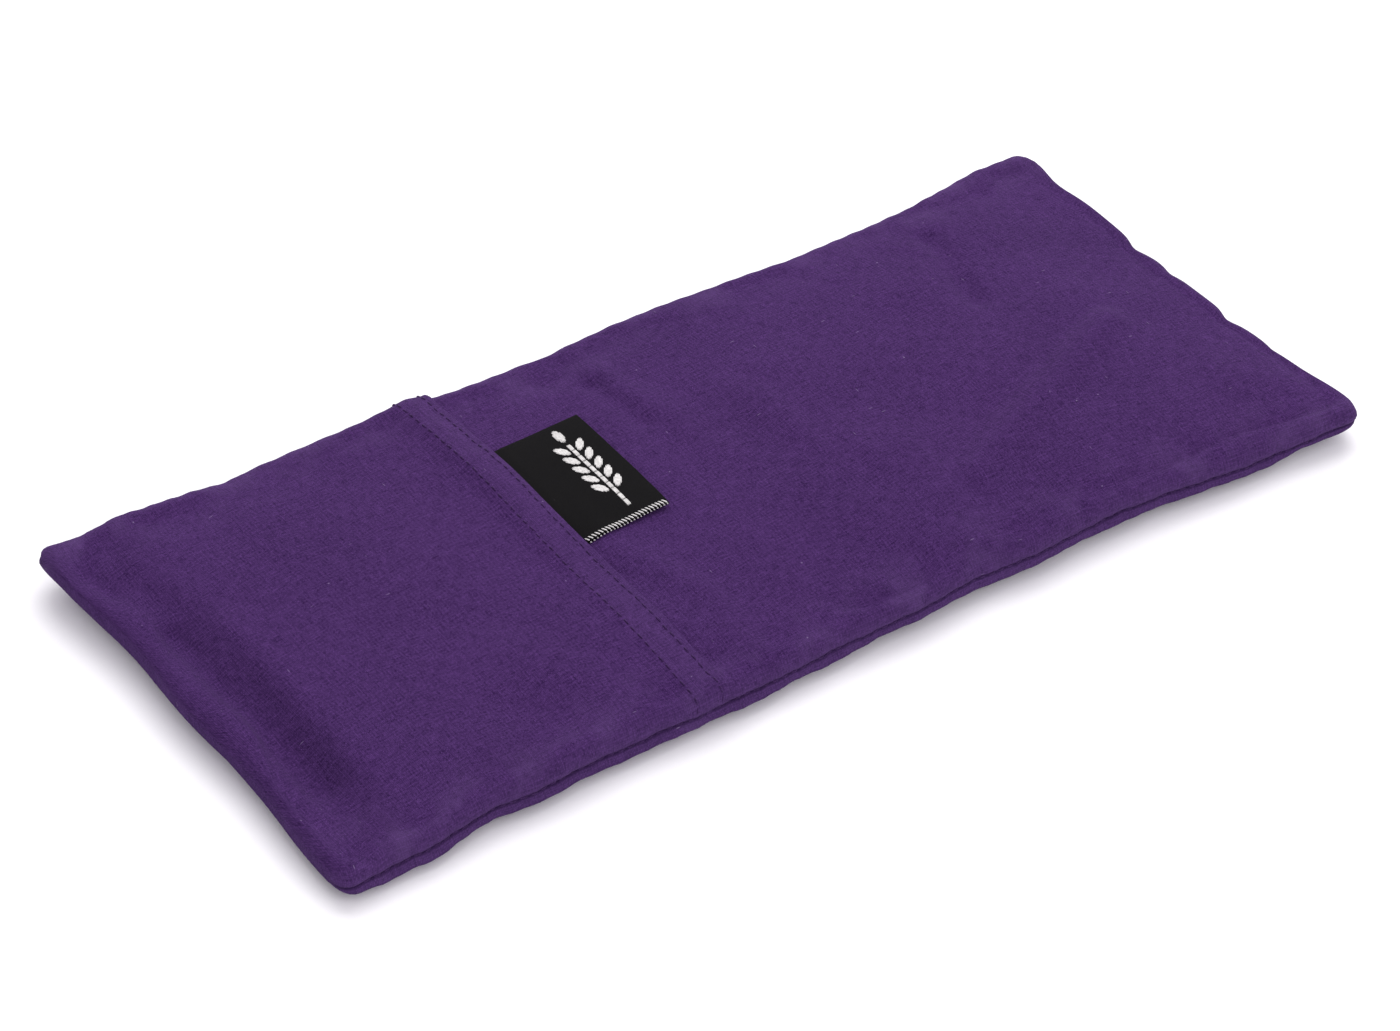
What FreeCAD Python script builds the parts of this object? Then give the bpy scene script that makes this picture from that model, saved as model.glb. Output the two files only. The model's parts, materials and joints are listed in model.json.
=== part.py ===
"""Eye pillow: a slim linseed-filled inner pillow in a removable envelope cover.

The cover is one strip of cotton.  It starts at the hem of the outer flap, folds round the left
end, runs along the underside, folds round the right end and comes back over the top as the inner
flap, whose hem lies hidden below the outer flap.  Both long sides are sewn.  A loop label is
caught under the hem of the outer flap, and its free part can be flipped up.

Millimetres.  X runs along the pillow, Y across it, Z up.  The origin is the middle of the
underside, on the surface that the pillow lies on.  Every soft layer is cut from nested skins of
one pillow shape, so neighbouring layers clear each other by a known amount.
"""
import FreeCAD
import Part
import math
import os

# ---- driving dimensions ----
LENGTH = 230.0            # cover, fold to fold
WIDTH = 100.0             # cover, seam to seam
TOP_HEIGHTS = (           # top of the cover along its middle: x, z
    (-115.0, 7.0), (-97.0, 9.0), (-60.0, 12.0), (-30.0, 12.4),
    (25.0, 14.5), (70.0, 15.0), (98.0, 13.0), (115.0, 8.5))
END_LIFT_Z = 1.6          # underside near an end fold, which curls off the surface
END_CURL = 6              # exponent of that curl, higher keeps it nearer to the ends
SEAM_Z = 5.0              # height of the two side seams
UNDERSIDE_DIP = 0.6       # the underside is pressed flat over this height
END_ROUND = 9.0           # length over which an end fold rounds off
TOP_FULLNESS = 4.0        # exponent of the upper side's cross-section, higher is fuller
UNDERSIDE_FULLNESS = 7.0

CLOTH = 0.6               # one layer of cotton
LAYER_GAP = 0.1           # between layers that lie on each other
THREAD = 0.2              # height of a laid thread
THREAD_WIDTH = 0.4

FLAP_HEM_X = -34.2        # folded edge of the outer flap's hem
HEM_DEPTH = 7.0
HEM_EDGE_ROW = 1.2        # from a folded edge to the first row of stitches
HEM_FOLD_ROW = 6.2        # from a folded edge to the second row
INNER_HEM_X = -65.0       # folded edge of the hidden inner flap's hem
OVERLAP_HALF_WIDTH = 48.0 # the flaps lie apart as far as this, and are sewn together beyond it
HEM_ROW_HALF_WIDTH = 47.0 # the outer flap's rows of stitches
INNER_HEM_HALF_WIDTH = 46.0
INNER_ROW_HALF_WIDTH = 43.0
SHARED_DEPTH = 0.1        # a piece of the cover that is one with its shell starts this far in it

ALLOWANCE_DEPTH = 5.0     # seam allowance, turned inside
ALLOWANCE_THICKNESS = 1.2
SEAM_ROW_INSET = 1.0      # the side seam's row of stitches, from the cloth
SEAM_REACH_X = 108.0      # the side seams' inner pieces end here

PILLOW_LEFT_X = -97.0     # inner pillow, end to end
PILLOW_RIGHT_X = 108.0
PILLOW_HALF_WIDTH = 42.5
PILLOW_TOP_GAP = 1.6      # from the cover's outside down to the inner pillow
PILLOW_UNDER_Z = 0.8
MUSLIN = 0.5
CLOSING_X = 100.0         # row that closes the inner pillow's filling end
CLOSING_HALF_WIDTH = 36.5

LABEL_NEAR_Y = -5.0
LABEL_FAR_Y = 26.0
LABEL_TAIL_X = -39.2      # the ribbon's two cut ends, under the hem
LABEL_BEND_X = -32.9      # the part held by the hem ends here
LABEL_HINGE_X = -32.2     # the free part bends about this line
LABEL_END_X = -15.7       # its folded edge
LABEL_Z = 13.1            # underside of the free part, which lies flat over the crown
LABEL_THICKNESS = 0.5
LABEL_EDGE = 0.7          # white selvage along the ribbon's near edge
MOTIF_HEIGHT = 0.15
STEM_X = -22.2            # the sprig woven into the label
STEM_NEAR_Y = -1.6
STEM_FAR_Y = 20.0
STEM_WIDTH = 0.6
BUD_PAIRS = 5
FIRST_BUDS_Y = 5.6
BUD_SPACING = 3.2
BUD_SPREAD = 2.1          # from the stem to a bud's middle
BUD_TILT = 32.0           # degrees from the stem
BUD_SIZE = (3.5, 1.5)
TIP_BUD_Y = 22.3
TIP_BUD_SIZE = (4.2, 1.7)

CORNER_INSET = 1.5        # how much faster than its depth a skin's sharp side edge moves inwards
FAR = 400.0               # larger than the whole pillow
TIP_SHARES = (0.012, 0.05, 0.15, 0.35, 0.65, 1.0)   # cross-sections, as shares of END_ROUND
MIDDLE_SHARES = (-0.92, -0.8, -0.65, -0.45, -0.3, -0.1, 0.15, 0.4, 0.6, 0.75, 0.88)
SIDE_POINTS = (0.0, 0.3, 0.5, 0.65, 0.78, 0.88, 0.95, 1.0)   # cross-section points, as shares


def box(x0, x1, y0, y1, z0, z1):
    return Part.makeBox(x1 - x0, y1 - y0, z1 - z0, FreeCAD.Vector(x0, y0, z0))


def end_rounding(distance):
    """0 at the tip of an end fold, 1 from END_ROUND inwards, along a quarter ellipse."""
    short = 1.0 - min(distance, END_ROUND) / END_ROUND
    return math.sqrt(max(0.0, 1.0 - short * short))


def cover_top(x):
    """Height of the cover's middle at x, easing from each of TOP_HEIGHTS to the next."""
    for (x0, z0), (x1, z1) in zip(TOP_HEIGHTS, TOP_HEIGHTS[1:]):
        if x <= x1:
            share = max(0.0, (x - x0) / (x1 - x0))
            return z0 + (z1 - z0) * share * share * (3.0 - 2.0 * share)
    return TOP_HEIGHTS[-1][1]


def cover_bottom(x):
    share = min(1.0, abs(x) / (LENGTH / 2))
    return -UNDERSIDE_DIP + (END_LIFT_Z + UNDERSIDE_DIP) * share ** END_CURL


def arch(x, half_width, height, fullness):
    """Curve from one side seam over (or under) the pillow to the other, height from the seam."""
    shares = [-s for s in reversed(SIDE_POINTS)] + list(SIDE_POINTS[1:])
    points = []
    for share in shares:
        z = SEAM_Z + height * (1.0 - abs(share) ** fullness)
        points.append(FreeCAD.Vector(x, half_width * share, z))
    curve = Part.BSplineCurve()
    curve.interpolate(Points=points)
    return curve.toShape()


def section(x, half_width, top, bottom):
    upper = arch(x, half_width, top - SEAM_Z, TOP_FULLNESS)
    lower = arch(x, half_width, bottom - SEAM_Z, UNDERSIDE_FULLNESS)
    return Part.Wire([upper, lower])


def stations(left, right):
    """Places along X for the cross-sections, closer together where the ends round off."""
    middle, half = (left + right) / 2, (right - left) / 2
    tips = [share * END_ROUND for share in TIP_SHARES]
    inner = [middle + (half - END_ROUND) * share for share in MIDDLE_SHARES]
    return [left + tip for tip in tips] + inner + [right - tip for tip in reversed(tips)]


def skin(inset):
    """The solid inside the cover's outer surface moved inwards by inset, outwards if negative."""
    left, right = -LENGTH / 2 + inset, LENGTH / 2 - inset
    wires = []
    for x in stations(left, right):
        full_x = x * (LENGTH / 2) / right
        rounding = end_rounding(min(x - left, right - x))
        low = cover_bottom(full_x) if inset <= 0 else max(0.0, cover_bottom(full_x))
        top = SEAM_Z + (cover_top(full_x) - inset - SEAM_Z) * rounding
        bottom = SEAM_Z - (SEAM_Z - low - inset) * rounding
        wires.append(section(x, WIDTH / 2 - CORNER_INSET * inset, top, bottom))
    return Part.makeLoft(wires, True, True)


def bag(inset):
    """The solid inside the inner pillow's outer surface moved inwards by inset."""
    left, right = PILLOW_LEFT_X + inset, PILLOW_RIGHT_X - inset
    half_width = PILLOW_HALF_WIDTH - CORNER_INSET * inset
    wires = []
    for x in stations(left, right):
        rounding = end_rounding(min(x - left, right - x))
        low = max(0.0, cover_bottom(x)) + PILLOW_UNDER_Z + inset
        top = SEAM_Z + (cover_top(x) - PILLOW_TOP_GAP - inset - SEAM_Z) * rounding
        bottom = SEAM_Z - (SEAM_Z - low) * rounding
        wires.append(section(x, half_width, top, bottom))
    return Part.makeLoft(wires, True, True)


class Skins:
    """Makes each skin once and cuts layers from pairs of them."""

    def __init__(self, maker):
        self.maker, self.made = maker, {}

    def solid(self, inset):
        key = round(inset, 3)
        if key not in self.made:
            self.made[key] = self.maker(inset)
        return self.made[key]

    def layer(self, outer, inner, region):
        """The material between two skins, inside region."""
        return self.solid(outer).common(region).cut(self.solid(inner))


COVER = Skins(skin)
BAG = Skins(bag)


def upper(x0, x1, half_width=FAR):
    """The upper side between two places along X."""
    return box(x0, x1, -half_width, half_width, SEAM_Z, FAR)


# ---- cover ----
def side_lip(side):
    """The raw edges of one side seam, turned inside, at seam height."""
    corner = WIDTH / 2 - CORNER_INSET * CLOTH
    low, high = sorted((side * (corner - ALLOWANCE_DEPTH), side * FAR))
    half = ALLOWANCE_THICKNESS / 2
    region = box(-SEAM_REACH_X, SEAM_REACH_X, low, high, SEAM_Z - half, SEAM_Z)
    return COVER.solid(CLOTH - SHARED_DEPTH).common(region)


def cover_underside():
    shell = COVER.layer(0.0, CLOTH, box(-FAR, FAR, -FAR, FAR, 0.0, SEAM_Z))
    return shell.fuse([side_lip(-1), side_lip(1)]).removeSplitter()


def cover_inner_flap():
    flap = COVER.layer(0.0, CLOTH, upper(INNER_HEM_X, FAR))
    hem = COVER.layer(CLOTH - SHARED_DEPTH, 2 * CLOTH,
                      upper(INNER_HEM_X, INNER_HEM_X + HEM_DEPTH, INNER_HEM_HALF_WIDTH))
    return flap.fuse(hem)


def cover_outer_flap():
    """On its own left of the inner flap's hem, and one layer higher where it lies on it."""
    end = INNER_HEM_X - LAYER_GAP
    step = end - 2 * CLOTH
    low, high = -LAYER_GAP, -LAYER_GAP - CLOTH
    single = COVER.layer(0.0, CLOTH, upper(-FAR, end))
    rise = COVER.layer(high, CLOTH, upper(step, end, OVERLAP_HALF_WIDTH))
    lap = COVER.layer(high, low, upper(step, FLAP_HEM_X, OVERLAP_HALF_WIDTH))
    hem = COVER.layer(high - CLOTH, low,
                      upper(FLAP_HEM_X - HEM_DEPTH, FLAP_HEM_X, OVERLAP_HALF_WIDTH))
    return single.fuse([rise, lap, hem]).cut(label_pocket())


def hem_row(from_edge):
    """One row of stitches across the outer flap's hem, laid on its upper face."""
    x = FLAP_HEM_X - from_edge
    base = -LAYER_GAP - 2 * CLOTH
    return COVER.layer(base - THREAD, base,
                       upper(x - THREAD_WIDTH / 2, x + THREAD_WIDTH / 2, HEM_ROW_HALF_WIDTH))


def inner_hem_rows():
    """The two rows of the hidden hem, on the inside of the inner flap."""
    rows = []
    for from_edge in (HEM_EDGE_ROW, HEM_FOLD_ROW):
        x = INNER_HEM_X + from_edge
        region = upper(x - THREAD_WIDTH / 2, x + THREAD_WIDTH / 2, INNER_ROW_HALF_WIDTH)
        rows.append(COVER.layer(2 * CLOTH, 2 * CLOTH + THREAD, region))
    return Part.makeCompound(rows)


def seam_thread(side):
    """The row of stitches that closes one long side, just inside the cloth."""
    corner = WIDTH / 2 - CORNER_INSET * CLOTH - SEAM_ROW_INSET
    low, high = sorted((side * (corner - THREAD_WIDTH), side * corner))
    return box(-SEAM_REACH_X, SEAM_REACH_X, low, high, SEAM_Z, SEAM_Z + THREAD)


def seam_overlock(side):
    """Overlock loops along the raw edge of one seam allowance."""
    edge = WIDTH / 2 - CORNER_INSET * CLOTH - ALLOWANCE_DEPTH
    low, high = sorted((side * edge, side * (edge - THREAD_WIDTH)))
    half = ALLOWANCE_THICKNESS / 2
    return box(-SEAM_REACH_X, SEAM_REACH_X, low, high, SEAM_Z - half, SEAM_Z + half)


# ---- label ----
def label_tail():
    """The ribbon's two cut ends under the hem, with the short bend that stays with the hem."""
    region = box(LABEL_TAIL_X, LABEL_BEND_X, LABEL_NEAR_Y, LABEL_FAR_Y, SEAM_Z, FAR)
    return COVER.layer(-LAYER_GAP - LABEL_THICKNESS, -LAYER_GAP, region)


def label_pocket():
    """The room that the tail takes under the hem."""
    region = box(LABEL_TAIL_X - LAYER_GAP, FLAP_HEM_X + LAYER_GAP, LABEL_NEAR_Y - LAYER_GAP,
                 LABEL_FAR_Y + LAYER_GAP, SEAM_Z, FAR)
    return COVER.layer(-2 * LAYER_GAP - LABEL_THICKNESS, 0.0, region)


def label_plate(y0, y1):
    return box(LABEL_HINGE_X, LABEL_END_X, y0, y1, LABEL_Z, LABEL_Z + LABEL_THICKNESS)


def label_flag():
    """The free part of the folded ribbon, its two layers as one plate."""
    return label_plate(LABEL_NEAR_Y + LABEL_EDGE, LABEL_FAR_Y)


def label_selvage():
    return label_plate(LABEL_NEAR_Y, LABEL_NEAR_Y + LABEL_EDGE)


def bud(x, y, tilt, size):
    """One oval bud of the sprig, its long axis tilted from Y by so many degrees."""
    ellipse = Part.Ellipse(FreeCAD.Vector(0, 0, 0), size[0] / 2, size[1] / 2)
    face = Part.Face(Part.Wire([ellipse.toShape()]))
    face.rotate(FreeCAD.Vector(0, 0, 0), FreeCAD.Vector(0, 0, 1), 90.0 - tilt)
    face.translate(FreeCAD.Vector(x, y, LABEL_Z + LABEL_THICKNESS))
    return face.extrude(FreeCAD.Vector(0, 0, MOTIF_HEIGHT))


def label_motif():
    """A plain sprig of lavender, a stem with pairs of oval buds, woven in white."""
    z = LABEL_Z + LABEL_THICKNESS
    parts = [box(STEM_X - STEM_WIDTH / 2, STEM_X + STEM_WIDTH / 2, STEM_NEAR_Y, STEM_FAR_Y,
                 z, z + MOTIF_HEIGHT)]
    for pair in range(BUD_PAIRS):
        for side in (-1, 1):
            y = FIRST_BUDS_Y + BUD_SPACING * pair
            parts.append(bud(STEM_X + side * BUD_SPREAD, y, side * BUD_TILT, BUD_SIZE))
    parts.append(bud(STEM_X, TIP_BUD_Y, 0.0, TIP_BUD_SIZE))
    return Part.makeCompound(parts)


# ---- inner pillow ----
def bag_panel(low, high):
    return BAG.layer(0.0, MUSLIN, box(-FAR, FAR, -FAR, FAR, low, high))


def bag_seam_thread():
    """The row that joins the two panels all round, laid against the bag's edge."""
    slab = box(-FAR, FAR, -FAR, FAR, SEAM_Z - THREAD / 2, SEAM_Z + THREAD / 2)
    return BAG.layer(-THREAD_WIDTH, 0.0, slab)


def bag_closing_thread():
    region = upper(CLOSING_X, CLOSING_X + THREAD_WIDTH, CLOSING_HALF_WIDTH)
    return BAG.layer(-THREAD, 0.0, region)


def pieces():
    return {
        "cover_underside": cover_underside(),
        "cover_inner_flap": cover_inner_flap(),
        "cover_outer_flap": cover_outer_flap(),
        "front_seam_thread": seam_thread(-1),
        "back_seam_thread": seam_thread(1),
        "front_seam_overlock": seam_overlock(-1),
        "back_seam_overlock": seam_overlock(1),
        "inner_hem_thread": inner_hem_rows(),
        "hem_edge_thread": hem_row(HEM_EDGE_ROW),
        "hem_fold_thread": hem_row(HEM_FOLD_ROW),
        "label_tail": label_tail(),
        "label_flag": label_flag(),
        "label_selvage": label_selvage(),
        "label_motif": label_motif(),
        "inner_bag_top": bag_panel(SEAM_Z, FAR),
        "inner_bag_bottom": bag_panel(-FAR, SEAM_Z),
        "inner_bag_seam_thread": bag_seam_thread(),
        "inner_bag_closing_thread": bag_closing_thread(),
        "linseed_fill": BAG.solid(MUSLIN),
    }


def main():
    os.makedirs("parts", exist_ok=True)
    for name, shape in pieces().items():
        shape.exportStep(f"parts/{name}.step")
        print(f"{name:26s} solids {len(shape.Solids):3d} valid {shape.isValid()} "
              f"volume {shape.Volume:10.2f}")


main()
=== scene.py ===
"""Eye pillow in a purple cotton envelope cover, with a hemmed flap and a woven loop label.

The cover is modelled as it is sewn: one strip of cloth from the flap's turned hem round the left
end, along the underside, round the right end and back over the top under the flap.
Lengths in this file are millimetres until a mesh is made; the camera and lights are in metres.
"""
import json
import math

import bmesh
import bpy
import numpy as np
from mathutils import Matrix, Vector


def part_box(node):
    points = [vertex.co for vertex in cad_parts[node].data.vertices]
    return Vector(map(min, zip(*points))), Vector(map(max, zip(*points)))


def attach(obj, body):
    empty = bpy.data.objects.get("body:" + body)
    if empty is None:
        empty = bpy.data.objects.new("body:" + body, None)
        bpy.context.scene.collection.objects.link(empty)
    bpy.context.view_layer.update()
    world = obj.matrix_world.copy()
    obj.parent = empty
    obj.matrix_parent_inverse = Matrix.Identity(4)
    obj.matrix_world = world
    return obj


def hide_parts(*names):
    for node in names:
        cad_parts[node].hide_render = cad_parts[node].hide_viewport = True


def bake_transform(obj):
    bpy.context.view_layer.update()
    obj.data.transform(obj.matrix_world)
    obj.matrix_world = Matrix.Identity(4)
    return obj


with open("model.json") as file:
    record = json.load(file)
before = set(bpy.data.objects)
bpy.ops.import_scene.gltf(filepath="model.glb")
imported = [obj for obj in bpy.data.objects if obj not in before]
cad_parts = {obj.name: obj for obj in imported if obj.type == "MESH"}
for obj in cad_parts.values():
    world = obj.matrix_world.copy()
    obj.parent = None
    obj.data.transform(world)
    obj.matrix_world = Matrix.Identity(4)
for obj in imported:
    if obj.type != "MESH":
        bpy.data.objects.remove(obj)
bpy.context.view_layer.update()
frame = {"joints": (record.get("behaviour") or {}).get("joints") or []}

MM = 0.001                # metres


def mm_box(node):
    low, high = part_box(node)
    return np.array(low) / MM, np.array(high) / MM


# ---- places taken from the frame ----
PILLOW_LOW, PILLOW_HIGH = mm_box("cover_underside")
LEFT_X, RIGHT_X = PILLOW_LOW[0], PILLOW_HIGH[0]
HALF_WIDTH = PILLOW_HIGH[1]
HEM_X = mm_box("cover_outer_flap")[1][0]
INNER_HEM_X = mm_box("cover_inner_flap")[0][0]
EDGE_ROW_X = sum(mm_box("hem_edge_thread"))[0] / 2
FOLD_ROW_X = sum(mm_box("hem_fold_thread"))[0] / 2
INNER_ROWS_X = [mm_box("inner_hem_thread")[0][0], mm_box("inner_hem_thread")[1][0]]
LABEL_NEAR_Y, LABEL_FAR_Y = [corner[1] for corner in mm_box("label_tail")]
LABEL_TAIL_X = mm_box("label_tail")[0][0]
LABEL_END_X = mm_box("label_flag")[1][0]
MOTIF_LOW, MOTIF_HIGH = mm_box("label_motif")
BAG_LEFT_X, BAG_RIGHT_X = [corner[0] for corner in mm_box("inner_bag_top")]
BAG_HALF_WIDTH = mm_box("inner_bag_top")[1][1]
CLOSING_X = mm_box("inner_bag_closing_thread")[0][0]
HINGE = np.array(frame["joints"][0]["pos_m"]) / MM

# ---- the pillow's shape ----
# x, how far the near and far sides pull in, and the height of the seam there
NEAR_SIDE = ((-115, 0.6, 3.5), (-104, 1.3, 3.6), (-95, 1.5, 3.8), (-82, 3.1, 4.0), (-70, 2.7, 3.9),
             (-58, 3.5, 3.9), (-46, 3.0, 4.0), (-24, 2.6, 4.1), (-5, 3.6, 4.2), (12, 3.1, 4.5),
             (26, 4.2, 4.9), (38, 3.1, 4.9), (50, 4.1, 4.8), (67, 4.1, 4.6), (83, 2.1, 4.2),
             (98, 1.7, 3.8), (107, 0.9, 4.2), (115, 0.0, 4.6))
FAR_SIDE = ((-115, -2.2, 7.4), (-99, -1.6, 7.9), (-76, -0.2, 7.2), (-52, -0.2, 7.4), (-37, -0.8, 8.0),
            (-30, 0.9, 7.5), (-8, 2.2, 7.5), (8, 1.2, 7.6), (22, 1.5, 7.6), (50, 3.6, 7.4),
            (80, 3.0, 7.6), (100, 0.0, 8.2), (115, -0.9, 7.0))
# x, height of the top and of the underside along the middle
MIDDLE = ((-115, 8.0, 1.8), (-110, 7.6, 0.8), (-104.5, 6.3, 0.3), (-98.5, 10.4, 0.0), (-90, 11.7, 0.0),
          (-58, 12.0, 0.0), (-34, 12.1, 0.0), (-10, 12.7, 0.0), (25, 14.3, 0.0), (62, 15.0, 0.0),
          (86, 14.2, 0.0), (98, 12.7, 1.0), (107, 11.0, 2.4), (115, 9.6, 3.4))
EASE = 3.2                # the lines above are smoothed over this length
LEFT_ROUND, RIGHT_ROUND = 4.5, 6.5   # how far in from each end its fold's rounding reaches
CORNER = 3.0              # radius of the corners in plan
TOP_FULLNESS, UNDERSIDE_FULLNESS = 2.5, 3.4      # power of the cross-section, 2 is an ellipse
END_FULLNESS = 2.5        # more of it in the corners, which the turned seams fill
END_REACH = 8.0           # which fades over this length

SLANT = 4.0               # the slope to the left end's rim lies this much further out at the back
SLANT_ACROSS, SLANT_ALONG = (0.58, 0.92), (60.0, 85.0)    # it grows over these shares and lengths
CORNER_PUFF = 2.0         # the turned seam fills the back left corner this much
PUFF_ACROSS, PUFF_ALONG = (0.86, 0.97), (103.0, 110.0)
# y, depth and width of the dips where each end's fold is drawn in, and their reach inwards
LEFT_DIPS = ((21, 1.2, 15), (-18, 1.1, 16), (50, -1.0, 12))
RIGHT_DIPS = ((14, 1.3, 42), (-45, -2.2, 7.5), (38, 1.3, 6.0), (12.5, 1.4, 3.2), (2.5, 0.6, 2.2),
              (-15, 1.3, 3.0), (-27, 0.5, 2.4))
DIP_REACH = 9.0

# soft ridges (positive) and valleys of the upper side: from x, y to x, y, width, height
FOLDS = (
    # the valley inside the left end's rim, and the swells beside it
    (-104.5, -27, -106, 19, 3.3, -1.7), (-110.5, 35, -111, 45, 2.6, -1.8),
    (-97, -26, -98, 14, 4.0, 0.7), (-104, -40, -104, -46, 4.0, 1.0),
    # the flap
    (-76, 46, -74, 20, 6.0, -1.1), (-76, -38, -62, -47, 6.0, 0.9), (-40, -41, -36, -46, 5.0, 0.5),
    # the bent crease behind the label
    (-15, 41, -6, 33, 2.4, -0.8), (-6, 33, -5, 18, 2.4, -0.9), (-28, 41, -12, 44, 3.4, 0.7),
    # the long ridge towards the right end, the valley behind it and the back crease
    (38, -28, 87, -7, 4.0, 2.0), (36, -20, 84, 1, 5.0, -1.1), (76, 34, 70, 12, 2.8, -1.9),
    # pulls at the seams
    (-28, -40, -22, -50, 3.2, -0.9), (18, -38, 33, -50, 4.0, -1.0), (-60, 42, -60, 32, 5.0, -0.4),
    # broad swells of the filling
    (5, -12, 22, 16, 9.0, 0.5), (60, 22, 88, 36, 7.0, 0.5), (98, -30, 108, -38, 6.0, 0.6),
    (97, 8, 104, 30, 5.0, -0.6), (-56, 10, -50, -20, 8.0, 0.3))
# height, length and seed of the filling's lumps, on the upper side and on the underside
LUMPS = ((0.13, 36.0, 3), (0.04, 15.0, 5), (0.012, 4.5, 8))
UNDER_LUMPS = (0.3, 22.0, 11)
TIP_CALM, SEAM_CALM = 9.0, 3.5    # these all fade out over this much at the ends and seams

# folds that run in from the side seams: spacing, height and reach
WIDE_PUCKER, WIDE_HEIGHT, WIDE_REACH = 13.0, 0.14, 5.0
WIDE_PLACE = 4.0          # the wide ones are highest this far in
FINE_PUCKER, FINE_HEIGHT, FINE_REACH = 5.2, 0.08, 3.5
PULL_HEIGHT, PULL_REACH = 0.05, 1.2       # each seam stitch's own pull
SEAM_GROOVE = 0.65        # the cloth is drawn in about this far at a side seam
GROOVE_WIDTH = 0.65
LIP, LIP_DOWN = 0.7, 1.7  # below the seam the underside bulges out by LIP
LIP_WIDTH = 1.6

CLOTH = 0.45              # one layer of cotton
HEM_DEPTH = abs(HEM_X - FOLD_ROW_X) + 1.0
HEM_RAISE = 0.40          # the hem's three layers raise its band this much over the flap
HEM_BOW = 1.2             # the hem's ends lie this much further along than its middle
HEM_TURN = 0.7            # and its near end this much further than its middle, its far end less
HEM_WANDER = 0.15         # and it wavers this much
TURN_RADIUS = 0.385       # of the hem's folded edge
TURN_LIFT = 0.15          # the layer turned under lies this far over the pillow
ROPING, ROPING_PITCH = 0.10, 6.4      # height and spacing of the hem's slanted ripples
STITCH_DENT, DENT_WIDTH = 0.22, 0.7   # the hem's stitch rows sink in
LAP_SLOPE = (-16.0, 4.0)  # beside the inner hem's edge, where the flap climbs onto the inner flap
BAND_SLOPE = (-2.4, 1.6)  # beside the hem's inner side, where its band begins
LABEL_RAISE = 0.35        # the hem lies this much higher over the label
LABEL_LEAN = 1.2          # the label's far end, with the hem there, lies this much further along
LEAN_REACH = 20.0
FLOOR_GAP = 0.05          # the underside lies this far off the floor, flat on its surface
GRID = 0.8                # spacing of the cover's mesh
CLOTH_WIDTH = 108.0       # from seam to seam over the cloth, for the number of rows
SIM_COLUMNS, SIM_ROWS = 66, 35   # size of the mesh that is settled
SIM_SCALE = 10.0          # and it is this many times larger, which Cloth handles better
SIM_FRAMES = 20
SIM_BROAD = 14.0          # only folds narrower than this are taken from it
SIM_SOFT = 1.8            # and they are smoothed this much
SIM_CAP = 0.9             # settling may move a point this far
LABEL_CALM = 0.85         # share of it that the stiff label takes away from the cloth near it
CALM_REACH = (15.0, 22.0)

STITCH_PITCH = 2.1
STITCH_LENGTH = 1.6
THREAD_RADIUS = 0.17
THREAD_TAPER = 0.6        # a stitch's ends are this share as thick
LOOP_PITCH, LOOP_RADIUS = 2.6, 0.13      # the overlock's loops
ALLOWANCE = 4.4           # the raw edges lie this far inside the side seams


# ---- small tools ----
def bell(value, width):
    return np.exp(-(value / width) ** 2)


def line(points, column, x):
    """A listed line's value at x, eased over EASE."""
    table = np.array(points, float)
    step = 0.5
    dense = np.arange(-130.0, 130.0 + step, step)
    values = np.interp(dense, table[:, 0], table[:, column])
    window = np.hanning(int(EASE / step) * 2 + 1)
    padded = np.pad(values, len(window) // 2, mode="edge")
    return np.interp(x, dense, np.convolve(padded, window / window.sum(), mode="valid"))


def waves(x, y, length, seed, count=14):
    """A smooth random height field of about unit size, with hills about length apart."""
    rng = np.random.default_rng(seed)
    total = np.zeros(np.broadcast(x, y).shape)
    for _ in range(count):
        turn = rng.uniform(0, math.tau)
        pace = math.tau / (length * rng.uniform(0.75, 1.6))
        total += np.sin((x * math.cos(turn) + y * math.sin(turn)) * pace + rng.uniform(0, math.tau))
    return total / math.sqrt(count / 2)


def smooth(value, low, high):
    """0 up to low and 1 from high on, with a soft step between them."""
    t = np.clip((value - low) / (high - low), 0.0, 1.0)
    return t * t * (3.0 - 2.0 * t)


def lengths(path):
    """The distance along a polyline to each of its points."""
    steps = np.linalg.norm(np.diff(path, axis=0), axis=1)
    return np.concatenate([[0.0], np.cumsum(steps)])


def places_at(at, along, path):
    """Points of a polyline at the given distances along it."""
    return np.stack([np.interp(at, along, path[:, k]) for k in range(3)], 1)


def grid_normals(points):
    """Unit normals of a grid of points, downwards where X grows by row and Y by column."""
    normals = np.cross(np.gradient(points, axis=1), np.gradient(points, axis=0))
    return normals / np.maximum(np.linalg.norm(normals, axis=2, keepdims=True), 1e-9)


def mesh_object(name, points, faces, cloth=None):
    """A mesh from millimetre points; cloth holds each point's place on the flat cloth."""
    mesh = bpy.data.meshes.new(name)
    mesh.from_pydata((np.reshape(points, (-1, 3)) * MM).tolist(), [], faces)
    if cloth is not None:
        layer = mesh.attributes.new("cloth", "FLOAT_VECTOR", "POINT")
        layer.data.foreach_set("vector", np.asarray(cloth, dtype=np.float32).ravel())
    mesh.polygons.foreach_set("use_smooth", [True] * len(mesh.polygons))
    mesh.update()
    obj = bpy.data.objects.new(name, mesh)
    bpy.context.scene.collection.objects.link(obj)
    return obj


def grid_faces(rows, columns, first=0):
    faces = []
    for i in range(rows - 1):
        for j in range(columns - 1):
            corner = first + i * columns + j
            faces.append((corner, corner + 1, corner + columns + 1, corner + columns))
    return faces


def flat_cloth(strip, width):
    """Each grid point's place on the flat cloth, from its distances along and across it."""
    return np.stack([np.broadcast_to(strip[:, None], width.shape), width, 0 * width], 2)


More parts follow.
